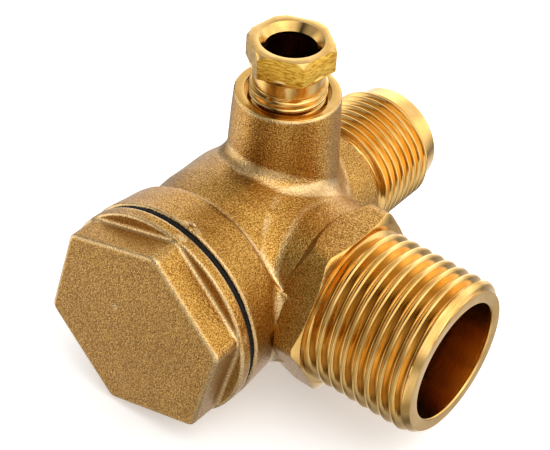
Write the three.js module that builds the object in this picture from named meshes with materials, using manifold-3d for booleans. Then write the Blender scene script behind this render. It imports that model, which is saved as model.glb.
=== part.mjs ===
// Three-port compressor check valve: a forged brass body with a threaded tank port, a threaded inlet port
// and a boss for the unloader line, closed by a hexagon cap that holds a spring-loaded poppet.
//
// Every piece is modelled about the point where the main bore and the tank port's bore cross:
//   X  main bore, with the cap at -X and the inlet port at +X
//   Y  tank port at -Y
//   Z  boss and gland nut at +Z
// The whole valve is then moved so that its origin is the middle of the bottom of its bounding box.
// Millimetres throughout.

import * as THREE from 'three';
import { mergeVertices } from 'three/addons/utils/BufferGeometryUtils.js';
import Module from 'manifold-3d';

const wasm = await Module();
wasm.setup();

// ---------------------------------------------------------------- driving dimensions

const DEGREES = Math.PI / 180;

// Tank port: a threaded spigot with a hexagon collar on a round neck.
const TANK = {
  majorRadius: 10.4775, // G 1/2
  minorRadius: 9.32,
  pitch: 1.814,
  threadStartY: -18.3,
  endY: -32.6,
  endRadius: 9.55, // of the end face, inside its lead-in chamfer
  chamferLength: 1.2,
  boreRadius: 7.93,
  boreBottomY: -12.6,
  passageRadius: 5.5, // from the bore's bottom into the chamber
};
const TANK_NECK_RADIUS = 10.6;
const COLLAR = {
  cornerRadius: 12.7,
  frontY: -17.35,
  faceRadius: 11.3,
  chamferLength: 0.8,
  backY: -14.5, // where the corners start to slope back to the neck at 45 degrees
  neckY: -12.4,
};

// Inlet port: a threaded spigot with a long conical nose.
const INLET = {
  majorRadius: 8.331, // G 3/8
  minorRadius: 7.475,
  pitch: 1.337,
  shoulderX: 17.95,
  threadEndX: 29.75,
  endX: 32.32,
  endRadius: 7.25,
  boreRadius: 5.2,
  mouthRadius: 6.0,
};

// Barrel of the body, as [place along X, radius], from the cap's seat to the inlet's shoulder.
const BODY_FACE_X = -15.75;
const BARREL = [
  [BODY_FACE_X, 13.7], [-15.45, 14.05], [-13, 13.85], [-10.3, 13.6], [-9.7, 13.1], [-9.3, 12.35], [-8, 12.6],
  [-4, 12.8], [3, 12.7], [5, 12.1], [7, 10.9], [9.5, 9.6], [13, 8.7], [INLET.shoulderX, 7.9],
];
const CHAMBER = {
  mouthRadius: 11.1, // bore of the cap's thread
  mouthChamfer: 0.8,
  mouthEndX: -10.1,
  radius: 9.8,
  wallX: 3.6,
};
const SEAT = { lipX: 2.8, lipRadius: 6.0, lipFootRadius: 6.5 };

// Boss for the unloader line, with the gland's socket, the olive's cone and the tube's stop.
const BOSS = { x: 6.23, topZ: 21.2, topRadius: 6.78, baseRadius: 7.3, baseZ: 8 };
const SOCKET = {
  mouthRadius: 5.48,
  mouthDepth: 1.2,
  radius: 5.06, // bore of the gland's thread
  floorZ: 12.8,
  coneRadius: 3.9,
  coneDepth: 1.8,
  tubeRadius: 3.1,
  tubeStopZ: 8.6,
  passageRadius: 1.5,
};

// Hexagon cap, screwed into the body.
const CAP = {
  faceX: -22.46,
  cornerRadius: 14.03,
  clock: 14 * DEGREES, // of a corner, from +Z towards -Y
  edgeBevel: 0.6,
  hexEndX: -18.25,
  flangeRadius: 14.1,
  flangeEdge: 0.4,
  flangeBackX: -16.45,
  reliefRadius: 9.9,
  reliefLength: 1.0,
  majorRadius: 11.0, // M22 x 1.5
  minorRadius: 10.1,
  pitch: 1.5,
  skirtEndX: -10.4,
  pocketRadius: 7.6,
  pocketFloorX: -17.2,
  guideRadius: 4.5,
  guideEndX: -11.6,
  guideBore: 3.08,
  guideBoreEndX: -20.5,
};
const SEAL = { innerRadius: 11.5, outerRadius: 13.35, corner: 0.25 };

// Poppet train, with the valve closed.
const POPPET = {
  stemRadius: 3.0,
  stemEndX: -17.4,
  shoulderRadius: 4.9, // centres the spring
  shoulderX: -1.9,
  backX: -0.7,
  radius: 7.4,
  rimX: 2.1,
  cupRadius: 6.76,
  cupFloorX: 0.9,
};
const SEAT_DISC = { radius: 6.7, frontX: 2.72 };
const WASHER = { radius: 4.3, thickness: 0.6 };
const SCREW = { radius: 1.45, headRadius: 2.9, headHeight: 1.5, length: 8.5, slotWidth: 0.7, slotDepth: 0.7 };
const SCREW_HOLE_RADIUS = 1.55;
const SPRING = { coilRadius: 5.75, wireRadius: 0.4, coils: 5.5, deadCoils: 1 };

// Gland nut and olive.
const NUT = {
  topZ: 28.69,
  topRadius: 5.34,
  cornerRadius: 5.78,
  cornerTopZ: 27.97,
  clock: -37.1 * DEGREES, // of a corner, from -Y towards +X
  hexBottomZ: 25.2,
  neckRadius: 4.6,
  threadTopZ: 22.8,
  majorRadius: 4.95, // M10 x 1
  minorRadius: 4.4,
  pitch: 1.0,
  bottomZ: 16.2,
  boreRadius: 3.3,
  mouthRadius: 4.07,
  mouthDepth: 1.03,
  coneRadius: 4.0,
  coneDepth: 0.8,
};
const OLIVE = { boreRadius: 3.1, endRadius: 3.35, waistRadius: 3.85, bottomZ: 11.8, topZ: 16.8, taper: 1.0 };

const RIDGE = { rootHalf: 0.42, crestHalf: 0.13 }; // half widths of a thread's ridge, in pitches
const FACE_GAP = 0.04; // between the faces of two pieces that bear on each other
const ROUND = 40; // sides of a large turned face
const SMALL_ROUND = 20; // sides of a small turned face, and of one turn of a thread

// ---------------------------------------------------------------- solids

// A closed three.js geometry as a manifold solid.
function solid(geometry) {
  geometry.deleteAttribute('normal');
  geometry.deleteAttribute('uv');
  const merged = mergeVertices(geometry, 1e-4);
  return new wasm.Manifold(new wasm.Mesh({
    numProp: 3,
    vertProperties: new Float32Array(merged.attributes.position.array),
    triVerts: new Uint32Array(merged.index.array),
  }));
}

// A manifold solid back as a three.js geometry.
function geometryOf(manifold) {
  const mesh = manifold.getMesh();
  const geometry = new THREE.BufferGeometry();
  geometry.setAttribute('position', new THREE.BufferAttribute(mesh.vertProperties, 3));
  geometry.setIndex(new THREE.BufferAttribute(mesh.triVerts, 1));
  geometry.computeVertexNormals();
  return geometry;
}

// Turns a geometry made along +Y so that it lies along the named axis.
function along(geometry, axis) {
  if (axis === 'x') geometry.rotateZ(-Math.PI / 2);
  if (axis === 'z') geometry.rotateX(Math.PI / 2);
  return geometry;
}

// A turned solid: profile is a list of [place along the axis, radius], starting and ending on the axis.
function turned(axis, profile, segments = ROUND) {
  const points = profile.map(([place, radius]) => new THREE.Vector2(radius, place));
  return solid(along(new THREE.LatheGeometry(points, segments), axis));
}

// A turned ring: profile is a closed loop of [place along the axis, radius], clear of the axis.
function turnedRing(axis, profile, segments = ROUND) {
  return turned(axis, [...profile, profile[0]], segments);
}

// A plain cylinder between two places along an axis.
function cylinder(axis, radius, from, to, segments = ROUND) {
  return turned(axis, [[from, 0], [from, radius], [to, radius], [to, 0]], segments);
}

// A hexagonal prism between two places along an axis; clock turns its corners about the axis.
function hexPrism(axis, cornerRadius, from, to, clock) {
  const prism = new THREE.CylinderGeometry(cornerRadius, cornerRadius, to - from, 6);
  prism.rotateY(clock);
  prism.translate(0, (from + to) / 2, 0);
  return solid(along(prism, axis));
}

// The ridge of a right-hand thread along +Y, as one closed helical bar with a trapezoid section.
// Its root lies a little under the minor radius, so that it joins the core it is added to.
function threadRidge(axis, { majorRadius, minorRadius, pitch }, from, to) {
  const root = minorRadius - 0.05;
  const { rootHalf, crestHalf } = RIDGE;
  const section = [[root, -rootHalf], [majorRadius, -crestHalf], [majorRadius, crestHalf], [root, rootHalf]];
  const steps = Math.round((to - from) / pitch * SMALL_ROUND);
  const positions = [];
  const index = [];
  for (let step = 0; step <= steps; step += 1) {
    const angle = step / SMALL_ROUND * 2 * Math.PI;
    const centre = from + step / SMALL_ROUND * pitch;
    for (const [radius, offset] of section) {
      positions.push(radius * Math.sin(angle), centre + offset * pitch, radius * Math.cos(angle));
    }
  }
  for (let step = 0; step < steps; step += 1) {
    for (let side = 0; side < 4; side += 1) {
      const a = step * 4 + side;
      const b = step * 4 + (side + 1) % 4;
      index.push(a, a + 4, b, b, a + 4, b + 4);
    }
  }
  const last = steps * 4;
  index.push(0, 1, 2, 0, 2, 3);
  index.push(last, last + 2, last + 1, last, last + 3, last + 2);
  const ridge = new THREE.BufferGeometry();
  ridge.setAttribute('position', new THREE.Float32BufferAttribute(positions, 3));
  ridge.setIndex(index);
  return solid(along(ridge, axis));
}

// A threaded bar along an axis: its core, its ridge, and a chamfer at each end down to the core.
function threadedBar(axis, thread, from, to) {
  const { majorRadius, minorRadius } = thread;
  const depth = majorRadius - minorRadius;
  const envelope = turned(axis, [
    [from, 0], [from, minorRadius], [from + depth, majorRadius],
    [to - depth, majorRadius], [to, minorRadius], [to, 0],
  ], SMALL_ROUND);
  return threadRidge(axis, thread, from, to)
    .add(cylinder(axis, minorRadius, from - thread.pitch, to + thread.pitch, SMALL_ROUND))
    .intersect(envelope);
}

// ---------------------------------------------------------------- body

// The hexagon collar, with its front corners turned away and its back corners sloped down to the neck.
function collar() {
  const { cornerRadius, frontY, faceRadius, chamferLength, backY, neckY } = COLLAR;
  const envelope = turned('y', [
    [frontY, 0], [frontY, faceRadius], [frontY + chamferLength, cornerRadius], [backY, cornerRadius],
    [neckY, TANK_NECK_RADIUS], [neckY, 0],
  ]);
  return hexPrism('y', cornerRadius, frontY, neckY, 30 * DEGREES).intersect(envelope);
}

// The tank port's threaded spigot, which ends in a lead-in chamfer.
function tankSpigot() {
  const { majorRadius, minorRadius, threadStartY, endY, endRadius, chamferLength } = TANK;
  const overCrests = majorRadius + 0.1;
  const runOut = 0.9;
  const envelope = turned('y', [
    [endY, 0], [endY, endRadius], [endY + chamferLength, overCrests], [threadStartY, overCrests],
    [threadStartY + runOut, minorRadius], [COLLAR.backY, minorRadius], [COLLAR.backY, 0],
  ], SMALL_ROUND);
  return threadRidge('y', TANK, endY, threadStartY)
    .add(cylinder('y', minorRadius, endY, COLLAR.backY, SMALL_ROUND))
    .intersect(envelope);
}

// The inlet port's threaded spigot and its plain conical nose.
function inletSpigot() {
  const { majorRadius, minorRadius, shoulderX, threadEndX, endX, endRadius } = INLET;
  const overCrests = majorRadius + 0.1;
  const runOut = 1;
  const noseEdge = 0.3;
  const core = turned('x', [
    [0, 0], [0, minorRadius], [threadEndX, minorRadius],
    [endX - noseEdge, endRadius], [endX, endRadius - noseEdge], [endX, 0],
  ], SMALL_ROUND);
  const envelope = turned('x', [
    [0, 0], [0, minorRadius], [shoulderX, minorRadius], [shoulderX + runOut, overCrests],
    [threadEndX - runOut, overCrests], [threadEndX, minorRadius], [endX, minorRadius], [endX, 0],
  ], SMALL_ROUND);
  return threadRidge('x', INLET, shoulderX, threadEndX).add(core).intersect(envelope);
}

function boss() {
  const { x, topZ, topRadius, baseRadius, baseZ } = BOSS;
  return turned('z', [[baseZ, 0], [baseZ, baseRadius], [topZ, topRadius], [topZ, 0]]).translate([x, 0, 0]);
}

// The chamber with the cap's mouth, and the raised seat lip left standing on its end wall.
function chamber() {
  const { mouthRadius, mouthChamfer, mouthEndX, radius, wallX } = CHAMBER;
  const chamferRadius = mouthRadius + mouthChamfer;
  const stepLength = 0.8;
  return turned('x', [
    [BODY_FACE_X - 1, 0], [BODY_FACE_X - 1, chamferRadius], [BODY_FACE_X, chamferRadius],
    [BODY_FACE_X + mouthChamfer, mouthRadius], [mouthEndX, mouthRadius], [mouthEndX + stepLength, radius],
    [wallX, radius], [wallX, SEAT.lipFootRadius], [SEAT.lipX, SEAT.lipRadius], [SEAT.lipX, 0],
  ]);
}

function inletBore() {
  const { boreRadius, mouthRadius, endX } = INLET;
  return turned('x', [
    [0, 0], [0, boreRadius], [endX - (mouthRadius - boreRadius), boreRadius], [endX, mouthRadius],
    [endX + 1, mouthRadius], [endX + 1, 0],
  ], SMALL_ROUND);
}

function tankBore() {
  const { boreRadius, boreBottomY, passageRadius, endY } = TANK;
  return turned('y', [
    [endY - 1, 0], [endY - 1, boreRadius], [boreBottomY, boreRadius], [boreBottomY, passageRadius],
    [-CHAMBER.radius + 2, passageRadius], [-CHAMBER.radius + 2, 0],
  ], SMALL_ROUND);
}

// The gland's socket, the olive's cone, the tube's stop and the passage down to the inlet bore.
function unloaderBore() {
  const {
    mouthRadius, mouthDepth, radius, floorZ, coneRadius, coneDepth, tubeRadius, tubeStopZ, passageRadius,
  } = SOCKET;
  const mouthFloorZ = BOSS.topZ - mouthDepth;
  return turned('z', [
    [0, 0], [0, passageRadius], [tubeStopZ, passageRadius], [tubeStopZ, tubeRadius],
    [floorZ - coneDepth, tubeRadius], [floorZ, coneRadius], [floorZ, radius],
    [mouthFloorZ, radius], [mouthFloorZ, mouthRadius], [BOSS.topZ + 1, mouthRadius], [BOSS.topZ + 1, 0],
  ], SMALL_ROUND).translate([BOSS.x, 0, 0]);
}

function valveBody() {
  const shoulder = BARREL[BARREL.length - 1][0];
  const barrel = turned('x', [[BODY_FACE_X, 0], ...BARREL, [shoulder, 0]]);
  return barrel
    .add(cylinder('y', TANK_NECK_RADIUS, COLLAR.backY - 0.5, 0))
    .add(boss())
    .add(collar())
    .add(tankSpigot())
    .add(inletSpigot())
    .subtract(chamber())
    .subtract(inletBore())
    .subtract(tankBore())
    .subtract(unloaderBore());
}

// ---------------------------------------------------------------- cap

function hexCap() {
  const {
    faceX, cornerRadius, clock, edgeBevel, hexEndX, flangeRadius, flangeEdge, flangeBackX, reliefRadius,
    reliefLength, skirtEndX, pocketRadius, pocketFloorX, guideRadius, guideEndX, guideBore, guideBoreEndX,
  } = CAP;
  const bevelledFront = turned('x', [
    [faceX, 0], [faceX, cornerRadius - 2 * edgeBevel], [faceX + edgeBevel, cornerRadius],
    [hexEndX + 1, cornerRadius], [hexEndX + 1, 0],
  ]);
  const flange = turned('x', [
    [hexEndX, 0], [hexEndX, flangeRadius - flangeEdge], [hexEndX + flangeEdge, flangeRadius],
    [flangeBackX - flangeEdge, flangeRadius], [flangeBackX, flangeRadius - flangeEdge], [flangeBackX, 0],
  ]);
  const relief = cylinder('x', reliefRadius, flangeBackX - 0.5, flangeBackX + reliefLength + 0.5);
  const pocket = turned('x', [
    [guideBoreEndX, 0], [guideBoreEndX, guideBore], [guideEndX, guideBore], [guideEndX, guideRadius],
    [pocketFloorX, guideRadius], [pocketFloorX, pocketRadius],
    [skirtEndX + 1, pocketRadius], [skirtEndX + 1, 0],
  ], SMALL_ROUND);
  return hexPrism('x', cornerRadius, faceX, hexEndX + 0.5, clock)
    .intersect(bevelledFront)
    .add(flange)
    .add(relief)
    .add(threadedBar('x', CAP, flangeBackX + reliefLength, skirtEndX))
    .subtract(pocket);
}

// The rubber ring squeezed flat between the cap's flange and the body.
function sealRing() {
  const { innerRadius, outerRadius, corner } = SEAL;
  const from = CAP.flangeBackX + FACE_GAP;
  const to = BODY_FACE_X - FACE_GAP;
  return turnedRing('x', [
    [from, innerRadius + corner], [from, outerRadius - corner], [from + corner, outerRadius],
    [to - corner, outerRadius], [to, outerRadius - corner], [to, innerRadius + corner],
    [to - corner, innerRadius], [from + corner, innerRadius],
  ]);
}

// ---------------------------------------------------------------- poppet train

// The turned valve carrier: guide stem, spring shoulder, and the cup that holds the rubber disc.
function poppet() {
  const {
    stemRadius, stemEndX, shoulderRadius, shoulderX, backX, radius, rimX, cupRadius, cupFloorX,
  } = POPPET;
  const holeEndX = cupFloorX - SCREW.length + 1;
  return turned('x', [
    [stemEndX, 0], [stemEndX, stemRadius - 0.4], [stemEndX + 0.4, stemRadius], [shoulderX, stemRadius],
    [shoulderX, shoulderRadius], [backX, shoulderRadius], [backX, radius], [rimX, radius], [rimX, cupRadius],
    [cupFloorX, cupRadius], [cupFloorX, SCREW_HOLE_RADIUS], [holeEndX, SCREW_HOLE_RADIUS], [holeEndX, 0],
  ], SMALL_ROUND);
}

// A flat ring with the screw's clearance hole, such as the seat disc and its washer.
function flatRing(radius, from, to) {
  return turnedRing('x', [
    [from, SCREW_HOLE_RADIUS], [from, radius], [to, radius], [to, SCREW_HOLE_RADIUS],
  ], SMALL_ROUND);
}

function seatDisc() {
  return flatRing(SEAT_DISC.radius, POPPET.cupFloorX + FACE_GAP, SEAT_DISC.frontX);
}

function discWasher() {
  const from = SEAT_DISC.frontX + FACE_GAP;
  return flatRing(WASHER.radius, from, from + WASHER.thickness);
}

// The slotted screw that clamps the washer and the rubber disc on the poppet.
function discScrew() {
  const { radius, headRadius, headHeight, length, slotWidth, slotDepth } = SCREW;
  const headX = SEAT_DISC.frontX + WASHER.thickness + 2 * FACE_GAP;
  const topX = headX + headHeight;
  const blank = turned('x', [
    [headX - length + 1, 0], [headX - length + 1, radius], [headX, radius], [headX, headRadius],
    [topX - 0.2, headRadius], [topX, headRadius - 0.2], [topX, 0],
  ], SMALL_ROUND);
  const slot = new THREE.BoxGeometry(2 * slotDepth, 2 * headRadius + 1, slotWidth);
  slot.translate(topX, 0, 0);
  return blank.subtract(solid(slot));
}

// The spring's centre line along X: a dead coil at each end and open coils between them.
class SpringLine extends THREE.Curve {
  getPoint(t) {
    const { coilRadius, wireRadius, coils, deadCoils } = SPRING;
    const from = CAP.pocketFloorX + FACE_GAP + wireRadius;
    const to = POPPET.backX - FACE_GAP - wireRadius;
    const deadRise = 2.1 * wireRadius * deadCoils;
    const turn = t * (coils + 2 * deadCoils);
    const open = THREE.MathUtils.clamp(turn - deadCoils, 0, coils) / coils;
    const dead = Math.min(turn, deadCoils) + Math.max(turn - deadCoils - coils, 0);
    const x = from + dead * deadRise / deadCoils + open * (to - from - 2 * deadRise);
    const angle = turn * 2 * Math.PI;
    return new THREE.Vector3(x, coilRadius * Math.cos(angle), coilRadius * Math.sin(angle));
  }
}

function checkSpring() {
  const section = new THREE.Shape();
  section.absarc(0, 0, SPRING.wireRadius, 0, 2 * Math.PI);
  const steps = Math.round((SPRING.coils + 2 * SPRING.deadCoils) * 16);
  return solid(new THREE.ExtrudeGeometry(section, {
    steps, curveSegments: 3, bevelEnabled: false, extrudePath: new SpringLine(),
  }));
}

// ---------------------------------------------------------------- gland

function glandNut() {
  const {
    topZ, topRadius, cornerRadius, cornerTopZ, clock, hexBottomZ, neckRadius, threadTopZ, bottomZ, boreRadius,
    mouthRadius, mouthDepth, coneRadius, coneDepth,
  } = NUT;
  const turnedTop = turned('z', [
    [hexBottomZ, 0], [hexBottomZ, cornerRadius], [cornerTopZ, cornerRadius], [topZ, topRadius], [topZ, 0],
  ], SMALL_ROUND);
  const bore = turned('z', [
    [bottomZ - 1, 0], [bottomZ - 1, coneRadius], [bottomZ, coneRadius], [bottomZ + coneDepth, boreRadius],
    [topZ - mouthDepth, boreRadius], [topZ, mouthRadius], [topZ + 1, mouthRadius], [topZ + 1, 0],
  ], SMALL_ROUND);
  return hexPrism('z', cornerRadius, hexBottomZ, topZ, clock)
    .intersect(turnedTop)
    .add(cylinder('z', neckRadius, threadTopZ - 0.6, hexBottomZ + 0.5, SMALL_ROUND))
    .add(threadedBar('z', NUT, bottomZ, threadTopZ))
    .subtract(bore);
}

// The olive: a short tube, tapered at both ends, that bites on the unloader tube.
function tubeOlive() {
  const { boreRadius, endRadius, waistRadius, bottomZ, topZ, taper } = OLIVE;
  return turnedRing('z', [
    [bottomZ, boreRadius], [bottomZ, endRadius], [bottomZ + taper, waistRadius], [topZ - taper, waistRadius],
    [topZ, endRadius], [topZ, boreRadius],
  ], SMALL_ROUND);
}

// ---------------------------------------------------------------- materials and assembly

const FINISH = {
  castBrass: { color: 0xb58b4f, roughness: 0.45, metalness: 1 },
  turnedBrass: { color: 0xd0a24c, roughness: 0.25, metalness: 1 },
  rubber: { color: 0x131313, roughness: 0.7, metalness: 0 },
  springSteel: { color: 0x9a9a98, roughness: 0.3, metalness: 1 },
};

const valve = new THREE.Group();

function addPiece(name, manifold, finish, place = [0, 0, 0]) {
  const mesh = new THREE.Mesh(geometryOf(manifold), new THREE.MeshStandardMaterial(FINISH[finish]));
  mesh.name = name;
  mesh.position.set(...place);
  valve.add(mesh);
}

const bossAxis = [BOSS.x, 0, 0];
addPiece('valve_body', valveBody(), 'castBrass');
addPiece('hex_cap', hexCap(), 'castBrass');
addPiece('cap_seal_ring', sealRing(), 'rubber');
addPiece('check_spring', checkSpring(), 'springSteel');
addPiece('poppet', poppet(), 'turnedBrass');
addPiece('seat_disc', seatDisc(), 'rubber');
addPiece('disc_washer', discWasher(), 'turnedBrass');
addPiece('disc_screw', discScrew(), 'turnedBrass');
addPiece('gland_nut', glandNut(), 'turnedBrass', bossAxis);
addPiece('tube_olive', tubeOlive(), 'turnedBrass', bossAxis);

// The origin is the middle of the bottom of the bounding box.
valve.position.set(-(CAP.faceX + INLET.endX) / 2, -(TANK.endY + CAP.flangeRadius) / 2, CAP.flangeRadius);

export default valve;
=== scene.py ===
"""Looks of a three-port compressor check valve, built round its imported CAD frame.

Shapes are worked out in millimetres about the point where the main bore and the tank port's bore cross:
X is the main bore (cap at -X, inlet port at +X), the tank port leaves at -Y and the gland's boss at +Z.
place() moves them into the frame. Forged skins are level surfaces of distance fields, so that their fillets
are real; everything machined is turned from a profile, with true helical threads.
"""
import math

import bmesh
import bpy
import numpy as np
import openvdb
from mathutils import Matrix, Vector


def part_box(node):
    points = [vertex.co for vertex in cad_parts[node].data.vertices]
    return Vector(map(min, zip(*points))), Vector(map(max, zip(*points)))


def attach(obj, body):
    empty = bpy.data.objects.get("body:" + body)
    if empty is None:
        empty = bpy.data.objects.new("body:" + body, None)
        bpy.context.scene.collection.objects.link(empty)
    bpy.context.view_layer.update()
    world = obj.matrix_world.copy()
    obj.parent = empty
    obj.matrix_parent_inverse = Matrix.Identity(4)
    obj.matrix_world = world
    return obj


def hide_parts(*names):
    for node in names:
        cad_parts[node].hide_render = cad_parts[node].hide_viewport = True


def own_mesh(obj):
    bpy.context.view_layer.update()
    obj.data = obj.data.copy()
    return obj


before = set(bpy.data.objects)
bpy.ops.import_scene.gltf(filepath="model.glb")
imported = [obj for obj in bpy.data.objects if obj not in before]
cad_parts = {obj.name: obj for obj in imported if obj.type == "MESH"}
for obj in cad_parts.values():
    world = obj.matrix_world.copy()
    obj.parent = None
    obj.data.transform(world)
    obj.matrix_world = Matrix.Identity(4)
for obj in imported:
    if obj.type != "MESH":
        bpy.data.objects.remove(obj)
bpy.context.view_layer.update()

MM = 0.001

# ---------------------------------------------------------------- driving sizes
# In mm. Keys that end in _x, _y or _z are places along that axis, and the others radii or lengths, but for
# slope, draft and power, which have no unit, and the spring's coils, dead turns and steps a turn.

# the tank port, G 1/2
TANK = dict(major=10.4775, minor=9.32, pitch=1.814, relief=10.35, thread_y=-17.4, end_y=-32.6, end=9.55,
            bore=7.93, bore_y=-12.6, passage=5.5, root_y=-12.0)
COLLAR = dict(flat=11.0, front_y=-17.35, face=11.2, corner=12.35, slope=0.4, back_y=-14.5, foot=10.0,
              root_y=-10.5, root=9.4, front_root=8.7)
# the neck between barrel and collar; its power squares the section a little, and 2 would be round
NECK = dict(radius=10.6, power=2.3, length=16.0)

# the inlet port, G 3/8, with a conical nose and a machined shoulder
INLET = dict(major=8.331, minor=7.475, relief=7.375, pitch=1.337, start_x=18.1, thread_x=29.75, end_x=32.32,
             end=7.25, bore=5.2, mouth=6.0, mouth_depth=0.8, shoulder_x=17.95)
INLET_LINER = dict(low_x=12.0, radius=6.4, rim_x=17.4, rim=7.78, face_x=17.98, face=7.72)

# the barrel, its chamber and the seat on the chamber's end wall
BODY_FACE_X = -15.75
# outline of the forged barrel, as (place along X, radius, rounding), from the cap's side to the inlet
BARREL = [(-20.0, 14.45, 0), (-9.85, 13.56, 0.8), (-9.35, 12.25, 0.9), (-4.0, 12.8, 6), (3.6, 12.78, 5),
          (8.3, 9.95, 5), (13.0, 8.65, 8), (20.0, 7.65, 0)]
CHAMBER = dict(mouth=11.1, mouth_end_x=-10.1, radius=9.8, wall_x=3.6, thread_depth=0.65)
MOUTH_LINER = dict(step=9.7, low_x=-9.0, low=9.9, sleeve=12.1, rim_x=-14.75, rim=13.3, edge_x=-15.55,
                   edge=13.62, face=13.5)
SEAT = dict(lip_x=2.8, lip=6.0, land=0.25, foot=6.5, root_x=4.4)

# the boss and the gland's socket in it
BOSS = dict(x=6.23, top_z=21.2, radius=6.78, draft=0.05, length=26.0)
BOSS_AXIS = (BOSS["x"], 0, 0)
SOCKET = dict(mouth=5.48, mouth_depth=1.2, radius=5.06, floor_z=12.8, cone=3.9, cone_depth=1.8, tube=3.1,
              stop_z=8.6, passage=1.5, thread_depth=0.5)
SOCKET_LINER = dict(top=6.62, rim_z=20.9, rim=6.72, neck_z=20.4, neck=6.2, low_z=8.0, low=5.9)

# the cap, M22 x 1.5, and the ring under its flange
CAP = dict(face_x=-22.46, corner=14.03, head_length=6.0, hex_x=-18.25, flange=14.1, back_x=-16.45,
           relief=9.9, major=11.0, minor=10.1, pitch=1.5, skirt_x=-10.4, pocket=7.6, floor_x=-17.2, guide=4.5,
           guide_x=-11.6, bore=3.08, bore_x=-20.5, start_x=-15.45, root_x=-21.1, root=9.5,
           plate_x=-16.9, plate=13.6)
CAP_CLOCK = math.radians(14)
SEAL = dict(inner=11.5, outer=13.8, bulge=0.12)

# the poppet and what is on it
POPPET = dict(stem=3.0, stem_x=-17.4, shoulder=4.9, shoulder_x=-1.9, back_x=-0.7, radius=7.4, rim_x=2.1,
              cup=6.76, cup_x=0.9)
DISC = dict(radius=6.7, front_x=2.72)
WASHER = dict(radius=4.3, thickness=0.6)
SCREW = dict(shank=1.45, head=2.9, height=1.5, reach=7.5, slot=0.7, hole=1.55)
SPRING = dict(coil=5.75, wire=0.4, coils=5.5, dead=1.0, steps=40)

# the gland nut, M10 x 1, and the olive under it
NUT = dict(top_z=28.69, top=5.34, corner=5.78, corner_z=27.97, hex_z=25.2, neck=4.6, thread_z=22.8,
           major=4.95, minor=4.4, pitch=1.0, bottom_z=16.2, bore=3.3, mouth=4.07, mouth_depth=1.03, cone=4.0,
           cone_depth=0.8, joint_z=27.0, joint=4.2)
NUT_CLOCK = math.radians(-37.1)
OLIVE = dict(bore=3.1, end=3.35, waist=3.85, bottom_z=11.8, top_z=16.8, taper=1.0)

# the forging: fillets where its limbs join, its edges, and how far it stays behind the machined faces
FORGING = dict(neck_fillet=1.3, throat_fillet=2.3, throat_x=3.0, throat_end_x=9.0, boss_fillet=1.5, edge=0.3,
               cut_edge=0.2, face_drop=0.03, top_drop=0.08, front_drop=1.5)
# the gap between parts that touch
FACE_GAP = 0.04

body_low, body_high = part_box("valve_body")
cap_low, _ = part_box("hex_cap")
CROSSING = Vector((body_high.x - INLET["end_x"] * MM, body_low.y - TANK["end_y"] * MM,
                   cap_low.z + CAP["flange"] * MM))


def place(points):
    """Points in mm about the crossing, as an array in the frame's metres."""
    return np.asarray(points, float) * MM + np.array(CROSSING)


# ---------------------------------------------------------------- mesh helpers

def piece(name, shells, materials, body, stands_for=(), sharp=35):
    """One visible piece of closed shells, each (points in mm, faces, index of its material).

    The index may also be a list with one for each face. Edges bent more than sharp degrees stay sharp.
    """
    points, faces, marks = [], [], []
    for shell_points, shell_faces, mark in shells:
        start = sum(len(p) for p in points)
        points.append(np.asarray(shell_points, float))
        faces += [[i + start for i in face] for face in shell_faces]
        marks += [mark] * len(shell_faces) if isinstance(mark, int) else list(mark)
    mesh = bpy.data.meshes.new(name)
    mesh.from_pydata(place(np.concatenate(points)).tolist(), [], faces)
    for material in materials:
        mesh.materials.append(material)
    mesh.polygons.foreach_set("material_index", np.array(marks, np.int32))
    mesh.polygons.foreach_set("use_smooth", np.ones(len(mesh.polygons), bool))
    outward = bmesh.new()
    outward.from_mesh(mesh)
    bmesh.ops.recalc_face_normals(outward, faces=outward.faces)
    outward.to_mesh(mesh)
    outward.free()
    mesh.update()
    mesh.set_sharp_from_angle(angle=math.radians(sharp))
    obj = bpy.data.objects.new(name, mesh)
    bpy.context.scene.collection.objects.link(obj)
    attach(obj, body)
    if stands_for:
        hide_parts(*stands_for)
    return obj


def on_axis(axis, along, radius, angle, centre=(0, 0, 0)):
    """Points from cylindrical values about an axis, as columns x, y, z. Angles turn right-handed about it."""
    c, s = radius * np.cos(angle), radius * np.sin(angle)
    columns = {"x": (along, c, s), "y": (s, along, c), "z": (c, s, along)}[axis]
    return np.stack([np.broadcast_to(v, np.shape(c)) for v in columns], -1) + np.array(centre)


def corner_arc(here, before, after, size, arc_steps):
    """Points of the arc that rounds one corner of a profile; before and after lead to its neighbours."""
    straight = 1.56  # half angle, in radians, past which there is no corner to round
    largest_share = 0.45  # the part of a side that one arc may take
    u, v = (w / max(np.linalg.norm(w), 1e-9) for w in (before, after))
    half = math.acos(np.clip(u @ v, -1, 1)) / 2
    if half > straight or min(np.abs(before).max(), np.abs(after).max()) < 1e-6:
        return [here] * (arc_steps + 1)
    reach = min(size / math.tan(half), *(largest_share * np.linalg.norm(w) for w in (before, after)))
    centre = here + (u + v) / np.linalg.norm(u + v) * reach / math.cos(half)
    first, last = here + u * reach - centre, here + v * reach - centre
    turn = math.atan2(first[0] * last[1] - first[1] * last[0], first @ last)
    cosines, sines = ([f(t) for t in np.linspace(0, turn, arc_steps + 1)] for f in (math.cos, math.sin))
    return [centre + np.array((c * first[0] - s * first[1], s * first[0] + c * first[1]))
            for c, s in zip(cosines, sines)]


def rounded(corners, arc_steps=5, closed=False):
    """A profile of (along, radius) from corners (along, radius, round), each made an arc of that radius."""
    count = len(corners)
    out = []
    for i, (along, radius, *size) in enumerate(corners):
        here = np.array((along, radius), float)
        if not any(size) or (not closed and i in (0, count - 1)):
            out.append(here)
            continue
        before, after = (np.array(corners[j % count][:2], float) - here for j in (i - 1, i + 1))
        out += corner_arc(here, before, after, size[0], arc_steps)
    return np.array(out)


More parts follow.
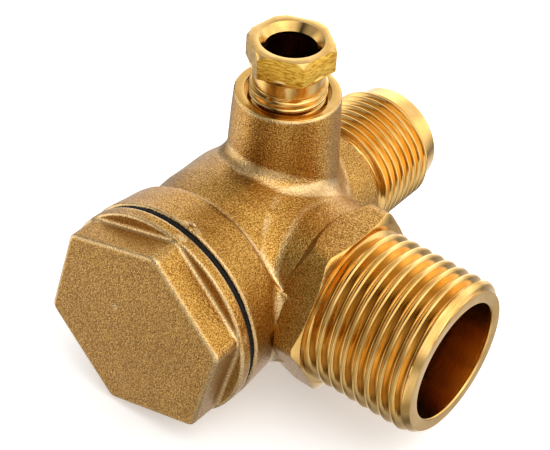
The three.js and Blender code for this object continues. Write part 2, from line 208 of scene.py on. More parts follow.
def weld(points, faces):
    """Merges points that coincide and drops the faces that collapse."""
    cell = 2e-4
    shift = 0.137  # keeps round numbers off the cells' edges
    cells = np.floor(points / cell + shift).astype(np.int64)
    _, first, index = np.unique(cells, axis=0, return_index=True, return_inverse=True)
    index = index.reshape(-1)
    kept = []
    for face in faces:
        loop = [index[i] for i in face]
        loop = [v for i, v in enumerate(loop) if v != loop[i - 1]]
        if len(loop) > 2 and len(set(loop)) == len(loop):
            kept.append(loop)
    return points[first], kept


def grid_faces(rows, columns, wrap):
    """Quads between neighbouring rows of points; wrap joins the last column to the first."""
    span = columns if wrap else columns - 1
    return [[r * columns + c, r * columns + (c + 1) % columns, (r + 1) * columns + (c + 1) % columns,
             (r + 1) * columns + c] for r in range(rows - 1) for c in range(span)]


def turned(axis, profile, sides=96, centre=(0, 0, 0), closed=False):
    """A surface of revolution. profile is (along, radius) points, or a function of the angle that gives them.
    A closed profile is a ring; otherwise it starts and ends on the axis or meets another surface."""
    angles = np.arange(sides) * 2 * math.pi / sides
    columns = [np.asarray(profile(a) if callable(profile) else profile) for a in angles]
    if closed:
        columns = [np.vstack([c, c[:1]]) for c in columns]
    grid = np.stack([on_axis(axis, c[:, 0], c[:, 1], a, centre) for c, a in zip(columns, angles)], 1)
    return grid.reshape(-1, 3), grid_faces(len(columns[0]), sides, True)


def ring(axis, corners, sides=96, centre=(0, 0, 0)):
    """One closed shell turned from a closed profile of corners, as rounded() takes them."""
    return weld(*turned(axis, rounded(corners, closed=True), sides, centre, closed=True))


def thread(axis, size, start, end, ends, groove_runs=(0.2, 0.2), crest_runs=(0.8, 0.8), centre=(0, 0, 0)):
    """A right-hand screw thread from start to end, where it closes on plain circles of the two radii in ends.
    Grooves and crests reach their own radii within these runs, in mm, of the start and of the end."""
    sides, steps = 96, 16
    turns = math.ceil((end - start) / size["pitch"]) + 1
    angle = np.arange(turns * sides + 1)[:, None] / sides * 2 * math.pi
    phase = np.arange(steps + 1)[None, :] / steps
    along = start + size["pitch"] * (angle / (2 * math.pi) + phase - 1)
    along = np.clip(along, start, end)
    # a triangle wave, made steeper and a little fuller at the crest, then rounded at crest and root
    steepness, fullness = 1.12, 0.10
    wave = 1 - 2 * np.abs(2 * phase - 1)
    wave = np.clip(wave * steepness + fullness, -1, 1)
    flank = 1.5 * wave - 0.5 * wave ** 3
    radius = size["minor"] + (size["major"] - size["minor"]) * (flank + 1) / 2

    def limit(level, runs):
        places = (start, start + runs[0], end - runs[1], end)
        return np.interp(along, places, (ends[0], level, level, ends[1]))

    radius = np.clip(radius, limit(size["minor"], groove_runs), limit(size["major"], crest_runs))
    grid = on_axis(axis, along, radius, angle, centre)
    return grid.reshape(-1, 3), grid_faces(len(angle), steps + 1, False)


def joined(*surfaces):
    """Surfaces that share their edges, welded into one closed shell."""
    points = np.concatenate([p for p, _ in surfaces])
    faces, start = [], 0
    for surface_points, surface_faces in surfaces:
        faces += [[i + start for i in face] for face in surface_faces]
        start += len(surface_points)
    return weld(points, faces)


def hex_radius(angle, flat, clock, corner):
    """Distance from the axis to a hexagon's side, one corner at clock; its corners have a small radius."""
    turn = (angle - clock + math.pi / 6) % (math.pi / 3) - math.pi / 6
    side = flat / np.cos(math.pi / 6 - np.abs(turn))
    hub = (flat - corner) / math.cos(math.pi / 6)
    arc = hub * np.cos(turn) + np.sqrt(np.maximum(corner ** 2 - (hub * np.sin(turn)) ** 2, 0))
    half_arc = math.atan2(corner * math.sin(math.pi / 6), hub + corner * math.cos(math.pi / 6))
    return np.where(np.abs(turn) < half_arc, arc, side)


def middles(points, faces):
    """The middle of each face."""
    return np.array([points[list(face)].mean(0) for face in faces])


# ---------------------------------------------------------------- distance fields of the forged skins

def smooth_join(a, b, size):
    """Union of two fields with a round fillet of that size."""
    reach = np.maximum(size - a, 0) ** 2 + np.maximum(size - b, 0) ** 2
    return np.maximum(size, np.minimum(a, b)) - np.sqrt(reach)


def smooth_common(a, b, size):
    """Common part of two fields, with its edges rounded to that size."""
    return -smooth_join(-a, -b, size)


def bar(about, radius, along, low, high, edge):
    """A bar between two places along its axis, with rounded ends. about is the distance from its axis."""
    return smooth_common(about - radius, np.abs(along - (low + high) / 2) - (high - low) / 2, edge)


def bore(about, radius, along, low=-1000.0, high=1000.0):
    """A plain bore between two places along its axis."""
    return np.maximum(about - radius, np.maximum(low - along, along - high))


def pebble(p, centre, half):
    """A small ellipsoid: a casting flaw, added as a chip or cut as a pit."""
    return (np.linalg.norm((p - np.array(centre)) / np.array(half), axis=1) - 1) * min(half)


def hexagon(u, v, flat, clock, corner):
    """A hexagonal bar about the axis normal to u and v, with rounded corners."""
    angles = [clock + math.pi / 6 + k * math.pi / 3 for k in range(3)]
    first, second, third = (np.abs(u * math.cos(a) + v * math.sin(a)) - flat for a in angles)
    return smooth_common(smooth_common(first, second, corner), third, corner)


def undulation(p):
    """The slight unevenness of a forging, in mm, as a few waves in random directions."""
    count, height, shift = 14, 0.011, 6
    shortest, spread = 3.5, 3.0  # of the wavelengths
    waves = np.random.default_rng(7).normal(size=(count, 5))
    out = np.zeros(len(p))
    for a, b, c, phase, size in waves:
        direction = np.array((a, b, c)) / math.hypot(a, b, c)
        length = shortest + spread * abs(size)
        out += height * np.sin(p @ direction * 2 * math.pi / length + shift * phase)
    return out


def from_axes(p):
    """Distances of points from the axes of the main bore, the tank port and the boss."""
    x, y, z = p.T
    return np.hypot(y, z), np.hypot(x, z), np.hypot(x - BOSS["x"], y)


def barrel_field(p):
    """The forged barrel, turned from its outline."""
    x, (about_x, _, _) = p[:, 0], from_axes(p)
    along, radius = rounded(BARREL, 8).T
    slope = np.interp(x, along, np.gradient(radius, along))
    return (about_x - np.interp(x, along, radius)) / np.sqrt(1 + slope ** 2)


def body_openings(p):
    """The body's bores in the forged skin, each a little wider than the turned piece that lines it.

    The two passages, and the inlet's bore, run on into the space that they open into."""
    x, y, z = p.T
    about_x, about_y, about_z = from_axes(p)
    liner = 0.3
    return [
        bore(about_x, CHAMBER["mouth"] + 0.9, x, high=BODY_FACE_X + 1.2),
        bore(about_x, CHAMBER["mouth"] + 0.7, x, high=CHAMBER["mouth_end_x"] + 0.8),
        bore(about_x, CHAMBER["radius"], x, high=CHAMBER["wall_x"]),
        bore(about_x, INLET["bore"], x, low=0),
        bore(about_x, INLET["bore"] + liner, x, low=INLET_LINER["low_x"] + 0.5),
        bore(about_y, TANK["bore"] + liner, y, high=TANK["bore_y"] + 0.2),
        bore(about_y, TANK["passage"], y, low=-15, high=-7),
        bore(about_z, SOCKET["radius"] + 0.65, z, low=SOCKET["stop_z"] - 0.4),
        bore(about_z, SOCKET["passage"], z, low=2, high=12),
    ]


def body_field(p):
    """The body's forged outside and its openings."""
    x, y, z = p.T
    _, _, about_z = from_axes(p)
    power = NECK["power"]
    squarish = (np.abs(x) ** power + np.abs(z) ** power) ** (1 / power)
    neck = bar(squarish, NECK["radius"], y, -NECK["length"], 0, FORGING["edge"])
    boss_radius = BOSS["radius"] + BOSS["draft"] * (BOSS["top_z"] - z)
    boss = bar(about_z, boss_radius, z, 0, BOSS["length"], FORGING["edge"])
    fillet = np.interp(x, (FORGING["throat_x"], FORGING["throat_end_x"]),
                       (FORGING["neck_fillet"], FORGING["throat_fillet"]))
    skin = smooth_join(barrel_field(p), neck, fillet)
    skin = smooth_join(skin, boss, FORGING["boss_fillet"]) + undulation(p)
    skin = smooth_common(skin, BODY_FACE_X + FORGING["face_drop"] - x, FORGING["edge"])
    skin = smooth_common(skin, z - BOSS["top_z"] + FORGING["top_drop"], FORGING["cut_edge"])
    skin = smooth_common(skin, x - INLET["shoulder_x"], FORGING["cut_edge"])
    skin = np.maximum(skin, COLLAR["front_y"] + FORGING["front_drop"] - y)
    for opening in body_openings(p):
        skin = np.maximum(skin, -opening)
    chip = pebble(p, (-15.1, -3.0, 14.12), (0.22, 0.65, 0.34))
    return smooth_join(skin, chip, 0.1)


def cap_field(p):
    """The cap's forged hexagon head and flange, hollow where the turned plug sits."""
    x, y, z = p.T
    about_x, _, _ = from_axes(p)
    back = CAP["back_x"] - 0.05
    middle = (CAP["face_x"] + CAP["back_x"]) / 2
    head = hexagon(z, -y, CAP["corner"] * math.cos(math.pi / 6), CAP_CLOCK, 0.7)
    head = smooth_common(head, np.abs(x - middle) - CAP["head_length"] / 2, 0.5)
    flange = bar(about_x, CAP["flange"] - 0.03, x, CAP["hex_x"], back, 0.3)
    skin = np.maximum(smooth_join(head, flange, 0.35), x - back)
    pit = pebble(p, (CAP["face_x"] - 0.05, 2.8, 2.4), (0.35, 0.32, 0.28))
    hollow = bore(about_x, CAP["root"] - 0.2, x, low=CAP["root_x"] + 0.15)
    return np.maximum(np.maximum(skin, -pit), -hollow)


def slope_of(field, points, reach=0.01):
    """Gradient of a field at points."""
    return np.stack([(field(points + d) - field(points - d)) / (2 * reach) for d in np.eye(3) * reach], -1)


def skin_mesh(field, low, high, step):
    """The zero surface of a field as (points, faces), with its points moved onto the exact surface."""
    outside, parts = 10.0, 12  # the value beyond the grid, and how many parts the field is worked out in
    pulls, flattest = 4, 0.2  # steps onto the surface, and the least squared slope that one is divided by
    low, high = np.array(low, float), np.array(high, float)
    counts = np.ceil((high - low) / step).astype(int) + 1
    axes = [low[k] + np.arange(counts[k]) * step for k in range(3)]
    points = np.stack(np.meshgrid(*axes, indexing="ij"), -1).reshape(-1, 3)
    values = np.concatenate([field(part) for part in np.array_split(points, parts)])
    grid = openvdb.FloatGrid(outside)
    grid.copyFromArray(np.ascontiguousarray(values.astype(np.float32).reshape(counts)))
    vertices, quads = grid.convertToQuads(0.0)
    vertices = vertices.astype(float) * step + low
    for _ in range(pulls):
        slope = slope_of(field, vertices)
        reach = field(vertices) / np.maximum(np.sum(slope ** 2, 1), flattest)
        vertices = vertices - np.clip(reach, -step, step)[:, None] * slope
    return vertices, quads.tolist()


def mark_edges_and_painted_highlights(obj, field, reach=0.4):
    """Stores how bent the skin is at each point, from 0 to 1, for its rubbed edges and for a painted
    highlight in its fillets.

    The bend is the field's Laplacian, per mm: above zero on an outside edge, and below it in a fillet."""
    points = (np.array([v.co for v in obj.data.vertices]) - np.array(CROSSING)) / MM
    around = sum(field(points + d) + field(points - d) for d in np.eye(3) * reach)
    bend = (around - 6 * field(points)) / reach ** 2
    rubbed = np.interp(bend, (0.6, 2.6), (0, 1))
    # concave fillets get a painted highlight: a pale tint standing in for the light reflected in them
    fillet = np.minimum(np.interp(-bend, (0.25, 0.70), (0, 1)), 0.85)
    # the "edge" attribute carries both the real rubbing on outside edges and the painted fillet highlight
    attribute = obj.data.attributes.new("edge", "FLOAT", "POINT")
    attribute.data.foreach_set("value", (rubbed + fillet).astype(np.float32))


# ---------------------------------------------------------------- materials

WHITE = (1, 1, 1, 1)
CAST_LIGHT = (0.635, 0.378, 0.110)
CAST_MID = (0.425, 0.215, 0.040)
CAST_DARK = (0.22, 0.096, 0.014)
# the pale colour of rubbed outside edges, also used as the painted highlight in the fillets
CAST_RUBBED_AND_HIGHLIGHT = (0.86, 0.66, 0.37, 1)
TURNED_LIGHT = (0.78, 0.51, 0.19)
TURNED_DARK = (0.62, 0.34, 0.07)
DRAWN_LIGHT = (0.74, 0.45, 0.07)
DRAWN_DARK = (0.40, 0.19, 0.012)
STEEL_LIGHT = (0.66, 0.65, 0.63)
STEEL_DARK = (0.42, 0.42, 0.41)


class Nodes:
    """A short way to build a node tree: call with a node's type, its inputs by name, and its settings."""

    def __init__(self, tree):
        self.tree = tree
        tree.nodes.clear()

    def __call__(self, kind, inputs=(), **settings):
        node = self.tree.nodes.new(kind)
        for name, value in settings.items():
            setattr(node, name, value)
        for name, value in dict(inputs).items():
            socket = node.inputs[name]
            if isinstance(value, bpy.types.NodeSocket):
                self.tree.links.new(value, socket)
            else:
                socket.default_value = value
        return node.outputs[0] if node.outputs else None

    def ramp(self, factor, stops):
        """A colour ramp from (place, colour or grey) stops."""
        out = self("ShaderNodeValToRGB", {"Fac": factor})
        elements = out.node.color_ramp.elements
        while len(elements) < len(stops):
            elements.new(0.5)
        for element, (place_on_ramp, value) in zip(elements, stops):
            colour = (value,) * 3 if isinstance(value, (int, float)) else value
            element.position = place_on_ramp
            element.color = (*colour, 1)
        return out

    def noise(self, where, scale, detail=2.0, roughness=0.5):
        """Noise with about that many features a metre."""
        return self("ShaderNodeTexNoise",
                    {"Vector": where, "Scale": scale, "Detail": detail, "Roughness": roughness})

    def mix(self, factor, a, b, blend="MIX"):
        """Two colours mixed."""
        out = self("ShaderNodeMix", {0: factor, 6: a, 7: b}, data_type="RGBA", blend_type=blend)
        return out.node.outputs[2]

    def math(self, operation, a, b=0.0):
        """Arithmetic on two values."""
        return self("ShaderNodeMath", {0: a, 1: b}, operation=operation)

    def vector(self, operation, a, b=(0, 0, 0), output="Vector"):
        """Arithmetic on two vectors."""
        return self("ShaderNodeVectorMath", {0: a, 1: b}, operation=operation).node.outputs[output]

    def bump(self, height, depth, strength=1.0, normal=None):
        """A bump of that depth in mm."""
        inputs = {"Height": height, "Distance": depth * MM, "Strength": strength}
        if normal is not None:
            inputs["Normal"] = normal
        return self("ShaderNodeBump", inputs)


def new_material(name, build):
    """A material whose surface is what build(nodes, where) returns; where is the place on the object."""
    material = bpy.data.materials.new(name)
    material.use_nodes = True
    nodes = Nodes(material.node_tree)
    where = nodes("ShaderNodeTexCoord").node.outputs["Object"]
    nodes("ShaderNodeOutputMaterial", {"Surface": build(nodes, where)})
    return material


def metal(name, build):
    """A metallic material. build(nodes, where) gives its colour, roughness and normal sockets."""
    def shader(nodes, where):
        colour, roughness, normal = build(nodes, where)
        return nodes("ShaderNodeBsdfPrincipled", {"Base Color": colour, "Roughness": roughness,
                                                  "Normal": normal, "Metallic": 1.0})
    return new_material(name, shader)


def cast_brass():
    """Forged brass, sand-blasted: satin, with a fine sparkling grain, rubbed paler on edges, and a painted
    highlight in its fillets.
    """
    def build(nodes, where):
        grain = nodes.noise(where, 5600, 1.0, 0.6)
        clumps = nodes.noise(where, 2600, 2.0, 0.5)
        stain = nodes.noise(where, 130, 4.0, 0.55)
        edge = nodes("ShaderNodeAttribute", attribute_name="edge").node.outputs["Fac"]
        speck = nodes.ramp(grain, [(0.34, CAST_DARK), (0.50, CAST_MID), (0.66, CAST_LIGHT)])
        cloud = nodes.ramp(clumps, [(0.35, 0.92), (0.65, 1.0)])
        tone = nodes.ramp(stain, [(0.35, (0.90, 0.88, 0.84)), (0.65, 1.0)])
        colour = nodes.mix(1.0, nodes.mix(1.0, speck, cloud, "MULTIPLY"), tone, "MULTIPLY")
        # pale mix on the edge mark: real rubbing on outside edges, and a painted highlight in the fillets
        colour = nodes.mix(nodes.math("MULTIPLY", edge, 0.5), colour, CAST_RUBBED_AND_HIGHLIGHT)
        roughness = nodes.math("SUBTRACT", nodes.ramp(clumps, [(0.3, 0.38), (0.7, 0.30)]),
                               nodes.math("MULTIPLY", edge, 0.06))
        height = nodes.math("ADD", grain, nodes.math("MULTIPLY", clumps, 0.9))
        return colour, roughness, nodes.bump(height, 0.07, 0.9)
    return metal("cast_brass", build)


def turned_brass(name, axis, centre=(0, 0, 0), rings_a_metre=9000.0, ring_depth=0.006, shade=1.0):
    """Bright turned brass, with the lathe's fine rings about an axis through centre, in mm."""
    light, dark = (tuple(shade * c for c in colour) for colour in (TURNED_LIGHT, TURNED_DARK))
    axial = tuple(float(letter == axis) for letter in "xyz")
    radial = tuple(1 - a for a in axial)

    def build(nodes, where):
        local = nodes.vector("SUBTRACT", where, tuple(place(centre)))
        along = nodes.vector("DOT_PRODUCT", local, axial, "Value")
        radius = nodes.vector("LENGTH", nodes.vector("MULTIPLY", local, radial), output="Value")
        lathe = nodes.math("ADD", along, nodes.math("MULTIPLY", radius, 0.7))
        rings = nodes("ShaderNodeTexNoise",
                      {"W": lathe, "Scale": rings_a_metre, "Detail": 3.0, "Roughness": 0.6},
                      noise_dimensions="1D")
        stain = nodes.noise(where, 260, 4.0, 0.6)
        fine = nodes.noise(where, 3200, 2.0, 0.5)
        colour = nodes.ramp(stain, [(0.32, dark), (0.62, light)])
        colour = nodes.mix(0.35, colour, nodes.ramp(rings, [(0.35, dark), (0.65, light)]))
        roughness = nodes.ramp(fine, [(0.3, 0.09), (0.7, 0.15)])
        return colour, roughness, nodes.bump(fine, 0.003, 0.4, nodes.bump(rings, ring_depth, 0.8))
    return metal(name, build)


def drawn_brass():
    """Drawn hexagon bar: flats with short rolled dashes and fine scratches."""
    def build(nodes, where):
        stretched = nodes("ShaderNodeMapping", {"Vector": where, "Scale": (1100.0, 1100.0, 5200.0)})
        dashes = nodes.noise(stretched, 1.0, 3.0, 0.6)
        fine = nodes.noise(where, 3000, 2.0, 0.5)
        colour = nodes.ramp(dashes, [(0.38, DRAWN_DARK), (0.58, DRAWN_LIGHT)])
        roughness = nodes.ramp(fine, [(0.3, 0.20), (0.7, 0.32)])
        height = nodes.math("ADD", dashes, nodes.math("MULTIPLY", fine, 0.3))
        return colour, roughness, nodes.bump(height, 0.012, 0.7)
    return metal("drawn_brass", build)


def spring_wire():
    """Bright spring steel with faint drawing marks."""
    def build(nodes, where):
        draw = nodes.noise(where, 2600, 3.0, 0.6)
        colour = nodes.ramp(draw, [(0.3, STEEL_DARK), (0.7, STEEL_LIGHT)])
        return colour, nodes.ramp(draw, [(0.3, 0.24), (0.7, 0.36)]), nodes.bump(draw, 0.004, 0.6)
    return metal("spring_wire", build)


def rubber(name, grey):
    """Matt black rubber with a faint moulded grain and a little dust."""
    def shader(nodes, where):
        grain = nodes.noise(where, 2400, 3.0, 0.6)
        dust = nodes.noise(where, 420, 4.0, 0.7)
        colour = nodes.ramp(dust, [(0.45, grey), (0.80, grey * 3.5)])
        roughness = nodes.ramp(grain, [(0.3, 0.70), (0.7, 0.85)])
        return nodes("ShaderNodeBsdfPrincipled", {"Base Color": colour, "Roughness": roughness,
                                                  "Specular IOR Level": 0.18,
                                                  "Normal": nodes.bump(grain, 0.01, 0.7)})
    return new_material(name, shader)


# ---------------------------------------------------------------- body

def casting():
    """The forged skin of the body, which carries its openings."""
    skin = skin_mesh(body_field, (-16.3, -17.8, -14.6), (18.4, 14.6, 21.6), BODY_STEP)
    obj = piece("body_casting", [(*skin, 0)], [CAST], "body", ["valve_body"], sharp=70)
    mark_edges_and_painted_highlights(obj, body_field)


def tank_spigot():
    """The threaded tank port, from its end face back into the neck, with its bore."""
    start, end, root, relief = TANK["end_y"], TANK["thread_y"], TANK["root_y"], TANK["relief"]
    ridge = thread("y", TANK, start, end, (TANK["end"], relief), groove_runs=(0.25, 0.8),
                   crest_runs=(1.1, 0.35))
    rest = rounded([(end, relief), (root, relief), (root, TANK["passage"]), (TANK["bore_y"], TANK["passage"]),
                    (TANK["bore_y"], TANK["bore"]), (start, TANK["bore"], 0.22), (start, TANK["end"])])
    piece("tank_spigot", [(*joined(ridge, turned("y", rest)), 0)], [TANK_BRASS], "body")


def tank_collar():
    """The hexagon collar: forged flats, sloped back corners, and a turned front face and chamfer."""
    front, face, flat, slope = COLLAR["front_y"], COLLAR["face"], COLLAR["flat"], COLLAR["slope"]
    corner = flat / math.cos(math.pi / 6)

    def back_y(radius):
        """Where the 45 degree slope behind the flats has that radius."""
        return COLLAR["back_y"] + corner - radius

    def section(angle):
        side = min(hex_radius(angle, flat, math.pi / 2, 0.25), COLLAR["corner"])
        chamfer_y = front + max(side - face, 0) * slope
        return rounded([(COLLAR["root_y"], COLLAR["root"]), (front, COLLAR["front_root"]),
                        (front, min(face, side - 0.05), 0.05), (chamfer_y + 0.04, side, 0.08),
                        (back_y(side), side, 0.3), (back_y(COLLAR["foot"]), COLLAR["foot"])], 3)

    points, faces = weld(*turned("y", section, 144, closed=True))
    middle = middles(points, faces)
    about = np.hypot(middle[:, 0], middle[:, 2])
    machined = middle[:, 1] - front < np.maximum(about - face, 0) * slope + 0.09
    piece("tank_collar", [(points, faces, np.where(machined, 1, 0))], [CAST, TANK_BRASS], "body", sharp=30)


def inlet_spigot():
    """The threaded inlet port with its machined shoulder, conical nose and bore."""
    start, end, tip = INLET["start_x"], INLET["thread_x"], INLET["end_x"]
    minor, relief, liner = INLET["minor"], INLET["relief"], INLET_LINER
    ridge = thread("x", INLET, start, end, (relief, minor), crest_runs=(0.8, 0.9))
    rest = rounded([(end, minor), (tip, INLET["end"], 0.3), (tip, INLET["mouth"], 0.1),
                    (tip - INLET["mouth_depth"], INLET["bore"]), (liner["low_x"], INLET["bore"]),
                    (liner["low_x"], liner["radius"]), (liner["rim_x"], liner["radius"]),
                    (liner["rim_x"], liner["rim"]), (liner["face_x"], liner["face"], 0.12),
                    (liner["face_x"], relief), (start, relief)])
    piece("inlet_spigot", [(*joined(ridge, turned("x", rest)), 0)], [INLET_BRASS], "body")


def gland_socket():
    """The boss's machined top, with the gland's threaded socket, the olive's cone and the tube's stop."""
    top, floor_z, radius, liner = BOSS["top_z"], SOCKET["floor_z"], SOCKET["radius"], SOCKET_LINER
    start, end = floor_z + 0.6, top - SOCKET["mouth_depth"]
    size = dict(major=radius + SOCKET["thread_depth"], minor=radius, pitch=NUT["pitch"])
    ridge = thread("z", size, start, end, (radius, radius), crest_runs=(0.6, 0.5), centre=BOSS_AXIS)
    rest = rounded([(end, radius), (end, SOCKET["mouth"]), (top, SOCKET["mouth"], 0.08),
                    (top, liner["top"], 0.1), (liner["rim_z"], liner["rim"]),
                    (liner["neck_z"], liner["neck"]), (liner["low_z"], liner["low"]),
                    (liner["low_z"], SOCKET["passage"]),
                    (SOCKET["stop_z"], SOCKET["passage"]), (SOCKET["stop_z"], SOCKET["tube"]),
                    (floor_z - SOCKET["cone_depth"], SOCKET["tube"]), (floor_z, SOCKET["cone"]),
                    (floor_z, radius), (start, radius)])
    shell = joined(ridge, turned("z", rest, centre=BOSS_AXIS))
    piece("gland_socket", [(*shell, 0)], [GLAND_BRASS], "body")


def cap_mouth():
    """The body's machined face and the threaded mouth that the cap screws into."""
    radius, step_x, liner = CHAMBER["mouth"], CHAMBER["mouth_end_x"], MOUTH_LINER
    start, end = BODY_FACE_X + 0.8, step_x - 0.3
    size = dict(major=radius + CHAMBER["thread_depth"], minor=radius + 0.02, pitch=CAP["pitch"])
    ridge = thread("x", size, start, end, (radius, radius), crest_runs=(0.6, 0.6))
    rest = rounded([(end, radius), (step_x, radius), (step_x, liner["step"]), (liner["low_x"], liner["low"]),
                    (liner["low_x"], liner["sleeve"]), (liner["rim_x"], liner["sleeve"]),
                    (liner["rim_x"], liner["rim"]), (liner["edge_x"], liner["edge"]),
                    (BODY_FACE_X, liner["face"], 0.08), (BODY_FACE_X, radius + 0.8), (start, radius)])
    piece("cap_mouth", [(*joined(ridge, turned("x", rest)), 0)], [CAP_BRASS], "body")


def valve_seat():
    """The raised seat lip on the chamber's end wall."""
    lip_x, lip, root_x, foot = SEAT["lip_x"], SEAT["lip"], SEAT["root_x"], SEAT["foot"]
    shell = ring("x", [(lip_x, lip, 0.1), (lip_x, lip + SEAT["land"], 0.1), (CHAMBER["wall_x"], foot),
                       (root_x, foot), (root_x, INLET["bore"] - 0.01), (lip_x + 0.5, INLET["bore"] + 0.1)])
    piece("valve_seat", [(*shell, 0)], [CAP_BRASS], "body")


# ---------------------------------------------------------------- cap

def cap_plug():
    """The cap's turned plug: its thread, the spring's pocket and the poppet's guide."""
    start, end, back, relief = CAP["start_x"], CAP["skirt_x"], CAP["back_x"], CAP["relief"]
    ridge = thread("x", CAP, start, end, (relief, CAP["minor"]))
    inside = rounded([(end, CAP["minor"]), (end, CAP["pocket"], 0.25), (CAP["floor_x"], CAP["pocket"], 0.5),
                      (CAP["floor_x"], CAP["guide"], 0.4), (CAP["guide_x"], CAP["guide"], 0.2),
                      (CAP["guide_x"], CAP["bore"], 0.2), (CAP["bore_x"], CAP["bore"]), (CAP["bore_x"], 0)])
    root = rounded([(CAP["root_x"], 0), (CAP["root_x"], CAP["root"]), (CAP["plate_x"], CAP["root"]),
                    (CAP["plate_x"], CAP["plate"] - 0.1), (back, CAP["plate"]), (back, relief),
                    (start, relief)])
    return joined(ridge, turned("x", inside), turned("x", root))


def hex_cap():
    """The forged hexagon head and flange, on the turned plug."""
    head = skin_mesh(cap_field, (-23.0, -14.8, -14.8), (-16.0, 14.8, 14.8), CAP_STEP)
    obj = piece("hex_cap_piece", [(*head, 0), (*cap_plug(), 1)], [CAST, CAP_BRASS], "cap", ["hex_cap"],
                sharp=60)
    mark_edges_and_painted_highlights(obj, cap_field)


def seal_ring():
    """The rubber ring squeezed between the cap's flange and the body."""
    low, high = CAP["back_x"] + FACE_GAP, BODY_FACE_X - FACE_GAP
    inner, outer = SEAL["inner"], SEAL["outer"]
    shell = ring("x", [(low, inner, 0.2), (low, outer - 0.05, 0.22),
                       ((low + high) / 2, outer + SEAL["bulge"], 0.5),
                       (high, outer - 0.05, 0.22), (high, inner, 0.2)], 128)
    piece("seal_ring_piece", [(*shell, 0)], [SEAL_RUBBER], "cap_carrier", ["cap_seal_ring"])


# ---------------------------------------------------------------- poppet train

def swept(line, radius, sides=12):
    """A closed tube of that radius along a line of points that winds round the X axis."""
    tangents = np.gradient(line, axis=0)
    tangents /= np.linalg.norm(tangents, axis=1)[:, None]
    outwards = line * (0, 1, 1)
    outwards /= np.linalg.norm(outwards, axis=1)[:, None]
    sideways = np.cross(tangents, outwards)
    angle = (np.arange(sides) / sides * 2 * math.pi)[None, :, None]
    around = outwards[:, None] * np.cos(angle) + sideways[:, None] * np.sin(angle)
    points = (line[:, None] + radius * around).reshape(-1, 3)
    last = (len(line) - 1) * sides
    ends = [list(range(sides))[::-1], list(range(last, last + sides))]
    return points, grid_faces(len(line), sides, True) + ends


def check_spring():
    """A compression spring with closed ends, from the cap's pocket floor to the poppet; the real one shortens
    as the poppet lifts.
    """
    wire, dead, coils, coil = SPRING["wire"], SPRING["dead"], SPRING["coils"], SPRING["coil"]
    turns = coils + 2 * dead
    low = CAP["floor_x"] + FACE_GAP + wire
    high = POPPET["back_x"] - FACE_GAP - wire
    rise = 2.1 * wire
    turn = np.linspace(0, turns, int(turns * SPRING["steps"]) + 1)
    x = np.interp(turn, (0, dead, dead + coils, turns), (low, low + rise, high - rise, high))
    smooth = 5
    x[smooth // 2:-(smooth // 2)] = np.convolve(x, np.ones(smooth) / smooth, "valid")
    line = on_axis("x", x, coil, turn * 2 * math.pi)
    obj = piece("check_spring_piece", [(*swept(line, wire), 0)], [SPRING_WIRE], "cap_carrier",
                ["check_spring"])
    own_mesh(obj)


def poppet():
    """The turned valve carrier: guide stem, spring shoulder, and the cup of the rubber disc."""
    stem, shoulder, radius, cup = POPPET["stem"], POPPET["shoulder"], POPPET["radius"], POPPET["cup"]
    stem_x, shoulder_x, back_x, rim_x, cup_x = (POPPET[key] for key in
                                                ("stem_x", "shoulder_x", "back_x", "rim_x", "cup_x"))
    hole, hole_x = SCREW["hole"], POPPET["cup_x"] - SCREW["reach"]
    profile = rounded([(stem_x, 0), (stem_x, stem, 0.4), (shoulder_x, stem, 0.3), (shoulder_x, shoulder, 0.3),
                       (back_x, shoulder, 0.15), (back_x, radius, 0.25), (rim_x, radius, 0.2),
                       (rim_x, cup, 0.15), (cup_x, cup, 0.1), (cup_x, hole), (hole_x, hole), (hole_x, 0)])
    piece("poppet_piece", [(*weld(*turned("x", profile)), 0)], [CAP_BRASS], "poppet", ["poppet"])


def disc_screw():
    """The slotted screw that holds the rubber disc."""
    seat = DISC["front_x"] + WASHER["thickness"] + 2 * FACE_GAP
    top, head, slot, end = seat + SCREW["height"], SCREW["head"], SCREW["slot"], seat - SCREW["reach"]

    def field(p):
        """The domed head with its slot."""
        x, _, z = p.T
        dome = bar(from_axes(p)[0], head, x, seat, top, 0.3)
        return np.maximum(dome, -np.maximum(np.abs(z) - slot / 2, top - slot - x))

    margin = 0.3
    wide = head + margin
    crown = skin_mesh(field, (seat - margin, -wide, -wide), (top + margin, wide, wide), SCREW_STEP)
    shank = rounded([(end, 0), (end, SCREW["shank"], 0.2), (seat + 0.3, SCREW["shank"]), (seat + 0.3, 0)])
    piece("disc_screw_piece", [(*crown, 0), (*weld(*turned("x", shank)), 0)], [CAP_BRASS], "poppet",
          ["disc_screw"])


def flat_ring(name, node, radius, low, thickness, material):
    """A flat ring with rounded edges round the screw."""
    high, hole = low + thickness, SCREW["hole"]
    shell = ring("x", [(low, hole, 0.05), (low, radius, 0.12), (high, radius, 0.12), (high, hole, 0.05)])
    piece(name, [(*shell, 0)], [material], "poppet", [node])


def seat_disc():
    """The rubber disc in the poppet's cup."""
    back = POPPET["cup_x"] + FACE_GAP
    flat_ring("seat_disc_piece", "seat_disc", DISC["radius"], back, DISC["front_x"] - back, DISC_RUBBER)


def disc_washer():
    """The washer between the disc and its screw."""
    flat_ring("disc_washer_piece", "disc_washer", WASHER["radius"], DISC["front_x"] + FACE_GAP,
              WASHER["thickness"], CAP_BRASS)


# ---------------------------------------------------------------- gland

